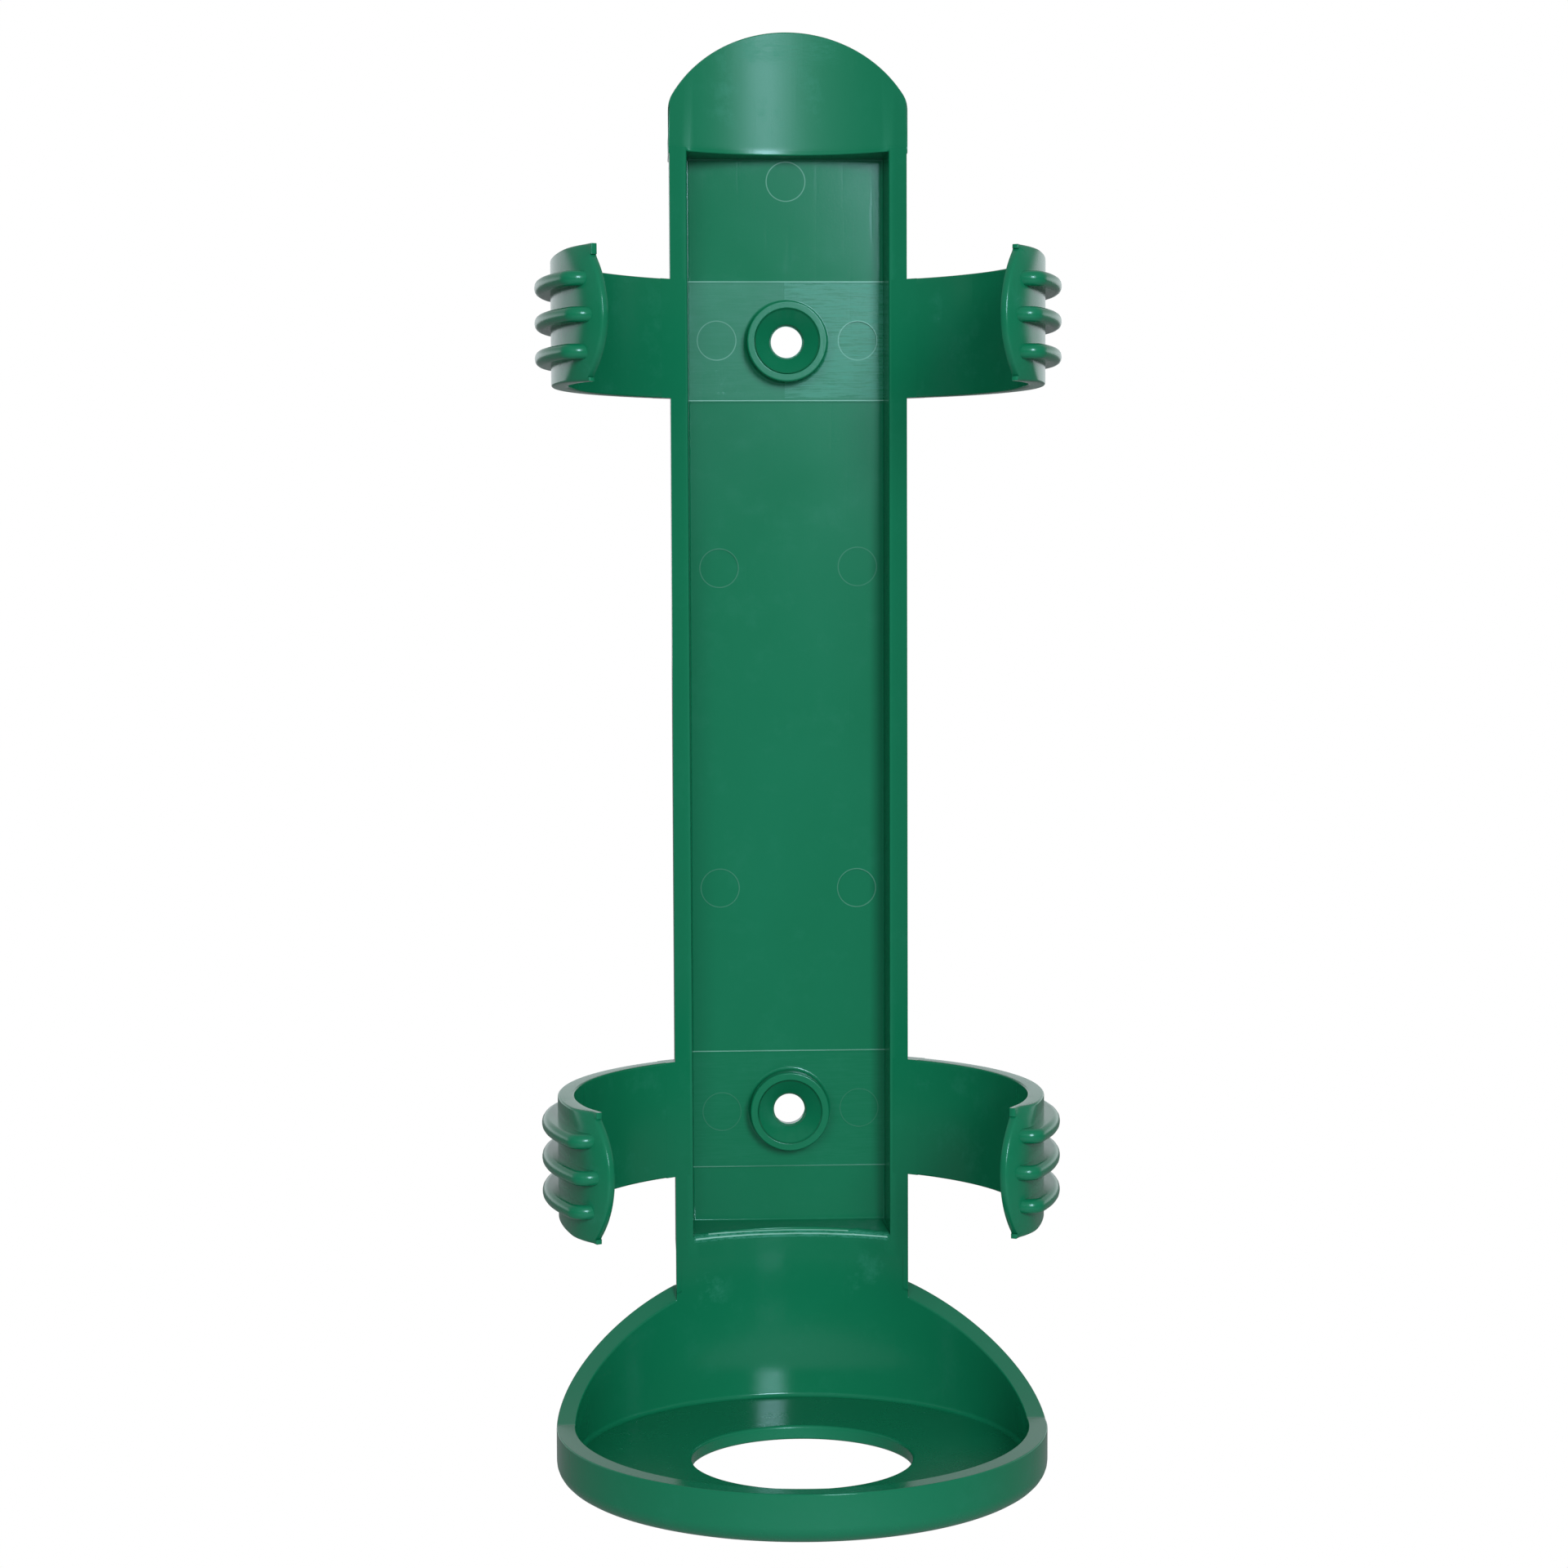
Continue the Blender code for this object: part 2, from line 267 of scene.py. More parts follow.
def dome_outline():
    """The rounded top, run through from front to back, with soft shoulders."""
    centre = DOME_APEX - DOME_R
    half = GUARD_HALF
    # The shoulder's circle touches the dome's arc from inside and the straight side.
    reach = DOME_R - SHOULDER_R
    across = half - SHOULDER_R
    rise = math.sqrt(reach**2 - across**2)
    meet = math.atan2(rise, across)
    right = [(half, CUP_BASE - FAR)]
    for i in range(SHOULDER_STEPS + 1):
        bend = meet * i / SHOULDER_STEPS
        right.append((across + SHOULDER_R * math.cos(bend),
                      centre + rise + SHOULDER_R * math.sin(bend)))
    for i in range(1, DOME_STEPS + 1):
        bend = meet + (math.pi / 2 - meet) * i / DOME_STEPS
        right.append((DOME_R * math.cos(bend), centre + DOME_R * math.sin(bend)))
    outline = right + [(-x, z) for x, z in reversed(right[:-1])]
    return prism([Vector((x, -FAR, z)) for x, z in outline], (0.0, 2 * FAR, 0.0))


def pocket_core():
    """The steel core that leaves the pocket, drafted and rounded at its face."""
    shape = bmesh.new()
    bmesh.ops.create_cube(shape, size=1.0)
    front = AXIS_Y + 20.0 * MM
    face = PLATE_FRONT
    depth = face - (AXIS_Y + BOTTLE_R * math.cos(math.asin(POCKET_HALF_FRONT / BOTTLE_R)))
    slope = (POCKET_HALF_FRONT - POCKET_HALF_FLOOR) / depth
    end_slope = POCKET_END_DRAFT / depth
    for vert in shape.verts:
        at_face = vert.co.y > 0
        y = face if at_face else front
        half = POCKET_HALF_FLOOR + slope * (face - y)
        top = POCKET_TOP - POCKET_TOP_DRAFT + slope * (face - y)
        bottom = POCKET_BOTTOM + POCKET_END_DRAFT - end_slope * (face - y)
        vert.co = (math.copysign(half, vert.co.x), y, top if vert.co.z > 0 else bottom)
    back_rim = [e for e in shape.edges if all(abs(v.co.y - face) < TOUCH for v in e.verts)]
    round_edges(shape, back_rim, POCKET_CORNER_R, 3)
    bmesh.ops.recalc_face_normals(shape, faces=shape.faces)
    return shape


bracket = as_object("moulded_bracket", spine_block())
combine(bracket, behind_shell(LEDGE_TOP, DOME_APEX + FAR), "DIFFERENCE")
combine(bracket, behind_shell(CUP_BASE - FAR, LEDGE_BOTTOM), "DIFFERENCE")
combine(bracket, dome_outline(), "INTERSECT")

combine(bracket, pocket_core(), "DIFFERENCE")


# ---------------------------------------------------------------------------
# Cup
# The round foot of the moulding: a flat floor with a large hole for the bottle's
# neck, and a wall, low in front, that sweeps up to the spine.  One core forms its
# inside and the neck's face, and draws in to the bottle's radius at the pocket.
# ---------------------------------------------------------------------------

CORE_R = 33.2 * MM
NECK_HALF = 17.3 * MM
NECK_TOP = POCKET_BOTTOM - 1.2 * MM
NECK_TOP_R = BOTTLE_R - 0.04 * MM
NECK_BLEND = 3.2 * MM
CUP_OUTER_R = 36.0 * MM
CUP_FLOOR = 2.2 * MM
CUP_HOLE_R = 16.25 * MM
CUP_EDGE_R = 2.6 * MM
CUP_INNER_FILLET = 0.7 * MM
CUP_BACK_HEIGHT = 21.0 * MM
HOLE_EDGE_R = 0.45 * MM
LIP_HEIGHT = 7.3 * MM
LIP_SLOPE = 0.2423
LIP_CURVE = 6.34
LIP_REACH = 1.05 * CUP_OUTER_R
LIP_STEPS = 60
CUP_SEGMENTS = 240
RIM_MERGE = 1.2 * MM


def quarter(centre_r, centre_z, radius, first, last, steps):
    """Points of a small arc in the cup's section."""
    points = []
    for i in range(steps + 1):
        angle = math.radians(first + (last - first) * i / steps)
        points.append((centre_r + radius * math.cos(angle), centre_z + radius * math.sin(angle)))
    return points


def turned_about_axis(section):
    """Spin a section of (radius, height above the base) about the bottle's axis."""
    shape = bmesh.new()
    verts = [shape.verts.new((r, AXIS_Y, CUP_BASE + z)) for r, z in section]
    edges = [shape.edges.new((verts[i - 1], verts[i])) for i in range(len(verts))]
    bmesh.ops.spin(shape, geom=verts + edges, cent=(0.0, AXIS_Y, 0.0), axis=(0.0, 0.0, 1.0),
                   angle=math.tau, steps=CUP_SEGMENTS, use_merge=True)
    bmesh.ops.recalc_face_normals(shape, faces=shape.faces)
    return shape


def cup_outside():
    """The cup before it is hollowed, with its hole."""
    section = quarter(CUP_HOLE_R + HOLE_EDGE_R, HOLE_EDGE_R, HOLE_EDGE_R, 180, 270, 3)
    section += quarter(CUP_OUTER_R - CUP_EDGE_R, CUP_EDGE_R, CUP_EDGE_R, 270, 360, 7)
    top = CUP_BACK_HEIGHT + 3 * SPARE
    section += [(CUP_OUTER_R, top), (CUP_HOLE_R, top)]
    return turned_about_axis(section)


def cup_inside():
    """The core that hollows the cup, with a fillet at the floor and a soft edge at the hole."""
    low = CUP_HOLE_R - 2 * SPARE
    top = CUP_BACK_HEIGHT + 4 * SPARE
    section = [(low, CUP_FLOOR - HOLE_EDGE_R), (CUP_HOLE_R, CUP_FLOOR - HOLE_EDGE_R)]
    section += quarter(CUP_HOLE_R + HOLE_EDGE_R, CUP_FLOOR - HOLE_EDGE_R, HOLE_EDGE_R, 180, 90, 3)[1:]
    section += quarter(CORE_R - CUP_INNER_FILLET, CUP_FLOOR + CUP_INNER_FILLET,
                       CUP_INNER_FILLET, 270, 360, 4)
    section += [(CORE_R, top), (low, top)]
    return turned_about_axis(section)


def lip_line(back):
    """Height of the wall's edge above the base, by distance behind the axis."""
    if back <= 0.0:
        return LIP_HEIGHT
    return LIP_HEIGHT + LIP_SLOPE * back + LIP_CURVE * back**2


def above_lip(highest, lift=0.0):
    """Everything above the wall's swept edge, or above a line some way over it."""
    outline = [Vector((-FAR, AXIS_Y - FAR, CUP_BASE + LIP_HEIGHT + lift))]
    for i in range(LIP_STEPS + 1):
        back = LIP_REACH * i / LIP_STEPS
        outline.append(Vector((-FAR, AXIS_Y + back, CUP_BASE + lift + min(highest, lip_line(back)))))
    outline += [Vector((-FAR, outline[-1].y, FAR)), Vector((-FAR, AXIS_Y - FAR, FAR))]
    return prism(outline, (2 * FAR, 0.0, 0.0))


def neck_face():
    """The upright part of the core, between the rails' lower ends."""
    reach = math.asin(NECK_HALF / CORE_R)
    outline = [Vector((p.x, p.y, CUP_BASE + LIP_HEIGHT)) for p in ring_arc(CORE_R, -reach, reach)]
    outline += [Vector((NECK_HALF, AXIS_Y, CUP_BASE + LIP_HEIGHT)),
                Vector((-NECK_HALF, AXIS_Y, CUP_BASE + LIP_HEIGHT))]
    shape = prism(outline, (0.0, 0.0, NECK_TOP - CUP_BASE - LIP_HEIGHT))
    divide(shape, 2, NECK_TOP - NECK_BLEND)
    for vert in shape.verts:
        if vert.co.z > NECK_TOP - NECK_BLEND / 2:
            vert.co.x *= NECK_TOP_R / CORE_R
            vert.co.y = AXIS_Y + (vert.co.y - AXIS_Y) * NECK_TOP_R / CORE_R
    return shape


def merge(shape_a, shape_b, operation):
    """Combine two shapes and hand back a bmesh."""
    item = as_object("shaping", shape_a)
    combine(item, shape_b, operation)
    result = bmesh.new()
    result.from_mesh(item.data)
    bpy.data.objects.remove(item, do_unlink=True)
    return result


combine(bracket, merge(cup_outside(), above_lip(CUP_BACK_HEIGHT), "DIFFERENCE"), "UNION")
hollow = merge(cup_inside(), above_lip(CUP_BACK_HEIGHT + 9 * SPARE, RIM_MERGE), "DIFFERENCE")
combine(bracket, hollow, "DIFFERENCE")
combine(bracket, neck_face(), "DIFFERENCE")


# ---------------------------------------------------------------------------
# Screw bosses
# Two raised rings with a countersink, over the through holes in the plate.
# Each stands on a shallow pad left by its own insert in the mould.
# ---------------------------------------------------------------------------

SCREW_HOLE_R = 2.6 * MM
BOSS_R = 6.2 * MM
BOSS_MOUTH_R = 4.85 * MM
BOSS_HEIGHT = 3.4 * MM
BOSS_FOOT = 0.45 * MM
BOSS_RIM = 0.25 * MM
MOUTH_BEVEL = 0.12 * MM
MOUTH_LIP = 0.05 * MM
BOSS_SEGMENTS = 96
PAD_RISE = 0.07 * MM
SCREW_LEVELS = (ARM_LEVEL, -ARM_LEVEL)


def turned_at(section, height):
    """Spin a section of (radius, distance in front of the plate) about a screw's axis."""
    shape = bmesh.new()
    verts = [shape.verts.new((r, PLATE_FRONT - d, height)) for r, d in section]
    edges = [shape.edges.new((verts[i - 1], verts[i])) for i in range(1, len(verts))]
    bmesh.ops.spin(shape, geom=verts + edges, cent=(0.0, PLATE_FRONT, height), axis=(0.0, 1.0, 0.0),
                   angle=math.tau, steps=BOSS_SEGMENTS, use_merge=True)
    bmesh.ops.remove_doubles(shape, verts=shape.verts, dist=SEAM)
    bmesh.ops.recalc_face_normals(shape, faces=shape.faces)
    return shape


def boss(height):
    """The ring before its hole is cut, with a small fillet at its foot and a softened rim."""
    section = [(0.0, -SPARE), (BOSS_R + BOSS_FOOT, -SPARE)]
    section += quarter(BOSS_R + BOSS_FOOT, PAD_RISE + BOSS_FOOT, BOSS_FOOT, 270, 180, 4)
    section += quarter(BOSS_R - BOSS_RIM, BOSS_HEIGHT - BOSS_RIM, BOSS_RIM, 0, 90, 3)
    section += [(0.0, BOSS_HEIGHT)]
    return turned_at(section, height)


def screw_core(height):
    """The hole and its countersink, right through the plate."""
    throat = BOSS_HEIGHT - (BOSS_MOUTH_R - SCREW_HOLE_R)
    section = [(0.0, BOSS_HEIGHT + SPARE), (BOSS_MOUTH_R + MOUTH_BEVEL, BOSS_HEIGHT + SPARE),
               (BOSS_MOUTH_R + MOUTH_BEVEL, BOSS_HEIGHT - MOUTH_LIP),
               (BOSS_MOUTH_R, BOSS_HEIGHT - MOUTH_BEVEL), (SCREW_HOLE_R, throat),
               (SCREW_HOLE_R, -WALL - SPARE), (0.0, -WALL - SPARE)]
    return turned_at(section, height)


def together(shapes):
    """One tool out of several that don't touch."""
    result = bmesh.new()
    for shape in shapes:
        mesh = bpy.data.meshes.new("part")
        shape.to_mesh(mesh)
        shape.free()
        result.from_mesh(mesh)
        bpy.data.meshes.remove(mesh)
    return result


combine(bracket, together([boss(level) for level in SCREW_LEVELS]), "UNION")
combine(bracket, together([screw_core(level) for level in SCREW_LEVELS]), "DIFFERENCE")


# ---------------------------------------------------------------------------
# Clip arms
# Four springy arms of the same moulding, each with a thin tongue-shaped end and
# three finger ribs.  Each is drawn flat, edged and then rolled to the ring;
# a short stub stays on the spine and the rest is a piece of its own.
# ---------------------------------------------------------------------------

STUB_START = math.radians(28.5)
STUB_END = math.radians(36.0)
STUB_PROUD = 0.006 * MM
ARM_EDGE_R = 0.3 * MM
TIP_CORNER_TURN = math.radians(117.0)
TIP_MIDDLE_TURN = math.radians(125.3)
TIP_STEP = 0.35 * MM
TIP_THICKNESS = 1.0 * MM
TIP_TAPER = 4.5 * MM
FLARE = 0.8 * MM
FLARE_START = math.radians(92.0)
FLARE_POWER = 1.5
TIP_STEPS = 24
RIB_PITCH = 5.0 * MM
RIB_THICKNESS = 2.15 * MM
RIB_R = 37.7 * MM
RIB_START_TURN = math.radians(67.0)
RIB_FADE = math.radians(9.0)
RIB_START_SINK = 0.3 * MM
RIB_NOSE_SINK = 0.35 * MM
RIB_ROOT = 1.6 * MM
RIB_STEPS = 26
RIB_NOSE_STEPS = 8
RIB_EDGE_R = 0.95 * MM
RIB_NOSE = 2.4 * MM
RIB_GAP = 1.5 * MM
ROW_HEIGHT = 1.0 * MM
STRIP = FINE_STEP * BOTTLE_R

# Name, side, level, and the height of the small step at the tongue's corner that is
# further from the spine's middle and at the one that is nearer.
PLACES = (("upper_left", -1, ARM_LEVEL, 1.35 * MM, 0.5 * MM),
          ("upper_right", 1, ARM_LEVEL, 0.5 * MM, 0.6 * MM),
          ("lower_left", -1, -ARM_LEVEL, 0.6 * MM, 0.9 * MM),
          ("lower_right", 1, -ARM_LEVEL, 0.6 * MM, 1.2 * MM))


def flat_slab(outline, keep_square):
    """A wall-thick slab in the unrolled (arc length, depth, height) plane, edges rounded."""
    shape = prism([(s, 0.0, z) for s, z in outline], (0.0, WALL, 0.0))
    rim = []
    for edge in shape.edges:
        a, b = (vert.co for vert in edge.verts)
        if abs(a.y - b.y) < TOUCH and not keep_square((a + b) / 2, (a - b).length):
            rim.append(edge)
    round_edges(shape, rim, ARM_EDGE_R, 3)
    return shape


def slice_across(shape, axis, spacing):
    """Cut a slab into strips on even multiples of a spacing along one axis."""
    low = min(vert.co[axis] for vert in shape.verts)
    high = max(vert.co[axis] for vert in shape.verts)
    for step in range(math.ceil(low / spacing + 0.05), math.floor(high / spacing - 0.05) + 1):
        divide(shape, axis, step * spacing)


def roll(shape, side, level, proud=0.0):
    """Roll a flat slab round the bottle's axis."""
    slice_across(shape, 0, STRIP)
    for vert in shape.verts:
        point = on_ring(BOTTLE_R - proud + vert.co.y, vert.co.x / BOTTLE_R, level + vert.co.z)
        vert.co = (side * point.x, point.y, point.z)
    bmesh.ops.recalc_face_normals(shape, faces=shape.faces)
    return shape


def stub_outline():
    """The arm's root, which runs a little way into the spine."""
    start, end = STUB_START * BOTTLE_R, STUB_END * BOTTLE_R
    return [(end, ARM_HALF_HEIGHT), (start, ARM_HALF_HEIGHT),
            (start, -ARM_HALF_HEIGHT), (end, -ARM_HALF_HEIGHT)]


def tip_reach(height):
    """Arc length to the tongue's end at a height off the arm's middle."""
    half = ARM_HALF_HEIGHT
    bulge = (TIP_MIDDLE_TURN - TIP_CORNER_TURN) * BOTTLE_R
    arc = (half**2 + bulge**2) / (2 * bulge)
    return TIP_MIDDLE_TURN * BOTTLE_R - (arc - math.sqrt(arc**2 - min(abs(height), half)**2))


def arm_outline(upper_land, lower_land):
    """The arm from stub to tongue, with the small step at each corner of the tongue."""
    start = STUB_END * BOTTLE_R
    low = -ARM_HALF_HEIGHT + lower_land
    high = ARM_HALF_HEIGHT - upper_land
    outline = [(start, -ARM_HALF_HEIGHT), (tip_reach(low) + TIP_STEP, -ARM_HALF_HEIGHT),
               (tip_reach(low) + TIP_STEP, low)]
    for i in range(TIP_STEPS + 1):
        height = low + (high - low) * i / TIP_STEPS
        outline.append((tip_reach(height), height))
    outline += [(tip_reach(high) + TIP_STEP, high),
                (tip_reach(high) + TIP_STEP, ARM_HALF_HEIGHT), (start, ARM_HALF_HEIGHT)]
    return outline


def thickness_at(s, height):
    """Wall thickness of an arm, which thins towards the tongue's edge."""
    near = max(0.0, min(1.0, (tip_reach(height) - s) / TIP_TAPER))
    return TIP_THICKNESS + (WALL - TIP_THICKNESS) * (1 - (1 - near)**2)


def thin_tongue(shape, level):
    """Thin the tongue from outside and flare its far corner."""
    for vert in shape.verts:
        vert.co.y *= thickness_at(vert.co.x, vert.co.z) / WALL
    for vert in shape.verts:
        far = max(0.0, vert.co.z * math.copysign(1.0, level) / ARM_HALF_HEIGHT)
        along = max(0.0, (vert.co.x / BOTTLE_R - FLARE_START) / (TIP_CORNER_TURN - FLARE_START))
        vert.co.z += math.copysign(FLARE * far * min(1.0, along)**FLARE_POWER, level)
    return shape


def rib(side, level, offset):
    """One finger rib, crescent-shaped in plan, round-nosed, with a blunt front end."""
    end = tip_reach(offset) - RIB_GAP
    turn_end = end / BOTTLE_R
    nose = RIB_NOSE / BOTTLE_R
    foot = BOTTLE_R + thickness_at(end, offset) - RIB_NOSE_SINK
    outer = []
    for i in range(RIB_STEPS + 1):
        turn = RIB_START_TURN + (turn_end - nose - RIB_START_TURN) * i / RIB_STEPS
        rise = math.sin(min(1.0, (turn - RIB_START_TURN) / RIB_FADE) * math.pi / 2)
        outer.append(on_ring(SHELL_R - RIB_START_SINK + (RIB_R - SHELL_R + RIB_START_SINK) * rise,
                             turn, 0.0))
    for i in range(1, RIB_NOSE_STEPS + 1):
        bend = math.pi / 2 * i / RIB_NOSE_STEPS
        outer.append(on_ring(foot + (RIB_R - foot) * math.cos(bend),
                             turn_end - nose + nose * math.sin(bend), 0.0))
    inner = ring_arc(SHELL_R - RIB_ROOT, turn_end - nose / 2, RIB_START_TURN)
    low = level + offset - RIB_THICKNESS / 2
    shape = prism([Vector((side * p.x, p.y, low)) for p in outer + inner],
                  (0.0, 0.0, RIB_THICKNESS))
    rim = []
    for edge in shape.edges:
        reach = [math.hypot(v.co.x, v.co.y - AXIS_Y) for v in edge.verts]
        flat = abs(edge.verts[0].co.z - edge.verts[1].co.z) < TOUCH
        if flat and min(reach) > foot - SLACK and len(edge.link_faces) == 2:
            rim.append(edge)
    round_edges(shape, rim, RIB_EDGE_R, 4)
    bmesh.ops.recalc_face_normals(shape, faces=shape.faces)
    return shape


def arm_keeps_square(middle, length):
    """True at the joint with the stub and at the small steps of the tongue."""
    return abs(middle.x - STUB_END * BOTTLE_R) < TOUCH or length < TIP_STEP + TOUCH


def stub_keeps_square(middle, length):
    """True where the stub is buried in the spine or meets the arm."""
    return middle.x < math.asin(SPINE_HALF / BOTTLE_R) * BOTTLE_R or arm_keeps_square(middle, length)


arms = []
for place, side, level, far_land, near_land in PLACES:
    lands = (far_land, near_land) if level > 0 else (near_land, far_land)
    slab = flat_slab(arm_outline(*lands), arm_keeps_square)
    slice_across(slab, 2, ROW_HEIGHT)
    slice_across(slab, 0, STRIP)
    arm = as_object(place + "_clip_arm", roll(thin_tongue(slab, level), side, level))
    for offset in (RIB_PITCH, 0.0, -RIB_PITCH):
        combine(arm, rib(side, level, offset), "UNION")
    arms.append((place, side, level, arm))


# ---------------------------------------------------------------------------
# Mould marks
# The marks that the mould's inserts and pins leave on the floor of the pocket:
# a raised pad with a line of flash at each screw, and round dents.  A mould is
# never razor sharp, so the bracket's other edges then get a small radius.
# ---------------------------------------------------------------------------

PART_EDGE_R = 0.2 * MM
LEDGE_EDGE_R = 0.7 * MM
FLAT_ENOUGH = math.radians(0.2)
ROUNDED_ABOVE = math.radians(40.0)
PAD_BELOW = 9.15 * MM
PAD_ABOVE = 9.2 * MM
PAD_TUCK = 0.2 * MM
FLASH_WIDTH = 0.14 * MM
FLASH_RISE = 0.1 * MM
FLASH_TUCK = 0.1 * MM
HOLE_FRONT = PLATE_FRONT - 0.6 * MM
HOLE_CLEARANCE = 0.01 * MM
PIN_SEGMENTS = 64
PIN_ROOT = 0.4 * MM
LEDGE_STRIP = 1.61 * MM
LEDGE_STRIPS = 9

# How far round a ledge its faces and front edge are looked for, and the bounds of the
# marked floor and of the outer sides, whose edges are left as they are.
LEDGE_DEPTH = 2.0 * MM
LEDGE_NEAR = 0.3 * MM
MARKS_HALF = 15.5 * MM
MARKS_PROUD = 0.3 * MM
SIDE_LOW = -85.0 * MM
SIDE_HIGH = 94.5 * MM


def block(low, high):
    """A plain box between two corners."""
    shape = bmesh.new()
    bmesh.ops.create_cube(shape, size=1.0)
    for vert in shape.verts:
        vert.co = [low[i] if vert.co[i] < 0 else high[i] for i in range(3)]
    return shape


def round_core(radius, height, rear, front, x=0.0):
    """A round core along Y, between two depths."""
    shape = bmesh.new()
    placing = Matrix.Translation((x, (rear + front) / 2, height)) @ Matrix.Rotation(math.pi / 2, 4, "X")
    bmesh.ops.create_cone(shape, cap_ends=True, segments=PIN_SEGMENTS, radius1=radius,
                          radius2=radius, depth=abs(rear - front), matrix=placing)
    return shape


def clean(shape):
    """Merge what the cuts left lying together and drop needless edges."""
    bmesh.ops.remove_doubles(shape, verts=shape.verts, dist=SEAM)
    bmesh.ops.dissolve_degenerate(shape, edges=shape.edges, dist=SEAM)
    bmesh.ops.dissolve_limit(shape, angle_limit=FLAT_ENOUGH, use_dissolve_boundaries=False,
                             verts=shape.verts, edges=shape.edges, delimit=set())
    bmesh.ops.recalc_face_normals(shape, faces=shape.faces)


def soften(item, width, segments, wanted):
    """Round the sharp edges of a piece whose ends both pass a test."""
    shape = bmesh.new()
    shape.from_mesh(item.data)
    clean(shape)
    chosen = [e for e in shape.edges if len(e.link_faces) == 2
              and e.calc_face_angle(0.0) > ROUNDED_ABOVE and all(wanted(vert.co) for vert in e.verts)]
    round_edges(shape, chosen, width, segments)
    bmesh.ops.recalc_face_normals(shape, faces=shape.faces)
    shape.to_mesh(item.data)
    shape.free()


def on_lower_ledge(point):
    """True on the front edge of the pocket's lower ledge."""
    low = abs(point.z - POCKET_BOTTOM) < LEDGE_NEAR
    front = abs(math.hypot(point.x, point.y - AXIS_Y) - BOTTLE_R) < 2 * SLACK
    return low and front and abs(point.x) < POCKET_HALF_FRONT - SLACK


stubs = [roll(flat_slab(stub_outline(), stub_keeps_square), side, level, STUB_PROUD)
         for _, side, level, _ in arms]
combine(bracket, together(stubs), "UNION")

pads, flashes, holes = [], [], []
for level in SCREW_LEVELS:
    ends = (level - PAD_BELOW, level + PAD_ABOVE)
    half = POCKET_HALF_FLOOR + PAD_TUCK
    pads.append(block((-half, PLATE_FRONT - PAD_RISE, ends[0]), (half, PLATE_FRONT + SPARE, ends[1])))
    half = POCKET_HALF_FLOOR + FLASH_TUCK
    crest = PLATE_FRONT - PAD_RISE - FLASH_RISE
    for line in ends:
        flashes.append(block((-half, crest, line - FLASH_WIDTH / 2),
                             (half, PLATE_FRONT + SPARE / 2, line + FLASH_WIDTH / 2)))
    holes.append(round_core(SCREW_HOLE_R + HOLE_CLEARANCE, level, 2 * SPARE, HOLE_FRONT))
combine(bracket, together(pads), "UNION")
combine(bracket, together(flashes), "UNION")
combine(bracket, together(holes), "DIFFERENCE")

# Ejector pins push the moulding off the core; each leaves a round dent with a fine raised rim.
# Across, height, depth of the dent, and how strongly a painted highlight is laid along its rim.
PIN_R = 2.95 * MM
PIN_RIM = 0.1 * MM
PIN_RIM_RISE = 0.06 * MM
PINS = ((0.0, 84.7 * MM, 0.08 * MM, 0.42), (-10.8 * MM, 60.3 * MM, 0.03 * MM, 0.36),
        (11.1 * MM, 60.3 * MM, 0.25 * MM, 0.50), (-10.6 * MM, 25.1 * MM, 0.12 * MM, 0.22),
        (11.0 * MM, 25.3 * MM, 0.03 * MM, 0.16), (-10.7 * MM, -25.0 * MM, 0.03 * MM, 0.14),
        (10.75 * MM, -25.1 * MM, 0.12 * MM, 0.24), (-10.6 * MM, -60.4 * MM, 0.02 * MM, 0.10),
        (11.05 * MM, -60.0 * MM, 0.02 * MM, 0.10))

rims, dents = [], []
for x, level, dent, _ in PINS:
    face = PLATE_FRONT
    if abs(abs(level) - ARM_LEVEL) < PAD_BELOW:
        face -= PAD_RISE
    rims.append(round_core(PIN_R + PIN_RIM, level, face + PIN_ROOT, face - PIN_RIM_RISE, x))
    dents.append(round_core(PIN_R, level, face + dent, face - SPARE, x))
combine(bracket, together(rims), "UNION")
combine(bracket, together(dents), "DIFFERENCE")


def away_from_marks(point):
    """False on the pocket's floor, with its fine marks, and on the sides, rounded before."""
    on_floor = PLATE_FRONT - MARKS_PROUD < point.y < -SPARE / 2 and abs(point.x) < MARKS_HALF
    on_side = abs(point.x) > POCKET_HALF_FRONT + 2 * SLACK and SIDE_LOW < point.z < SIDE_HIGH
    return not on_floor and not on_side


def divide_ledges(item):
    """Cut the pocket's two hollow-edged ledges into narrow strips, which fill cleanly."""
    shape = bmesh.new()
    shape.from_mesh(item.data)
    for step in range(-LEDGE_STRIPS, LEDGE_STRIPS + 1):
        ledges = []
        for face in shape.faces:
            height = face.calc_center_median().z
            off = min(abs(height - POCKET_TOP), abs(height - POCKET_BOTTOM))
            if abs(face.normal.z) > 0.9 and off < LEDGE_DEPTH:
                ledges.append(face)
        divide(shape, 0, step * LEDGE_STRIP, ledges)
    shape.to_mesh(item.data)
    shape.free()


soften(bracket, LEDGE_EDGE_R, 3, on_lower_ledge)
soften(bracket, PART_EDGE_R, 2, away_from_marks)
divide_ledges(bracket)


# ---------------------------------------------------------------------------
# Green plastic
# A saturated mid green polypropylene, semi-gloss, with fine flow marks.  It is
# rubbed and scuffed where bottles and screw heads have slid over it.  Pale lines
# along the flash, round the pins' rims and on the lower ledge's edge are painted highlights, and the lighter
# brushed lines are partly a painted sheen.
# ---------------------------------------------------------------------------

SHARP_ABOVE = math.radians(48.0)
RAIL_INSIDE = 14.0 * MM
RAIL_STRIP_TOP = POCKET_TOP + 0.8 * MM


def on_rail_front(face):
    """True for the strips along the rails' front edges, which follow the bottle."""
    return all(abs(math.hypot(vert.co.x, vert.co.y - AXIS_Y) - BOTTLE_R) < LEDGE_NEAR
               and abs(vert.co.x) > RAIL_INSIDE for vert in face.verts)


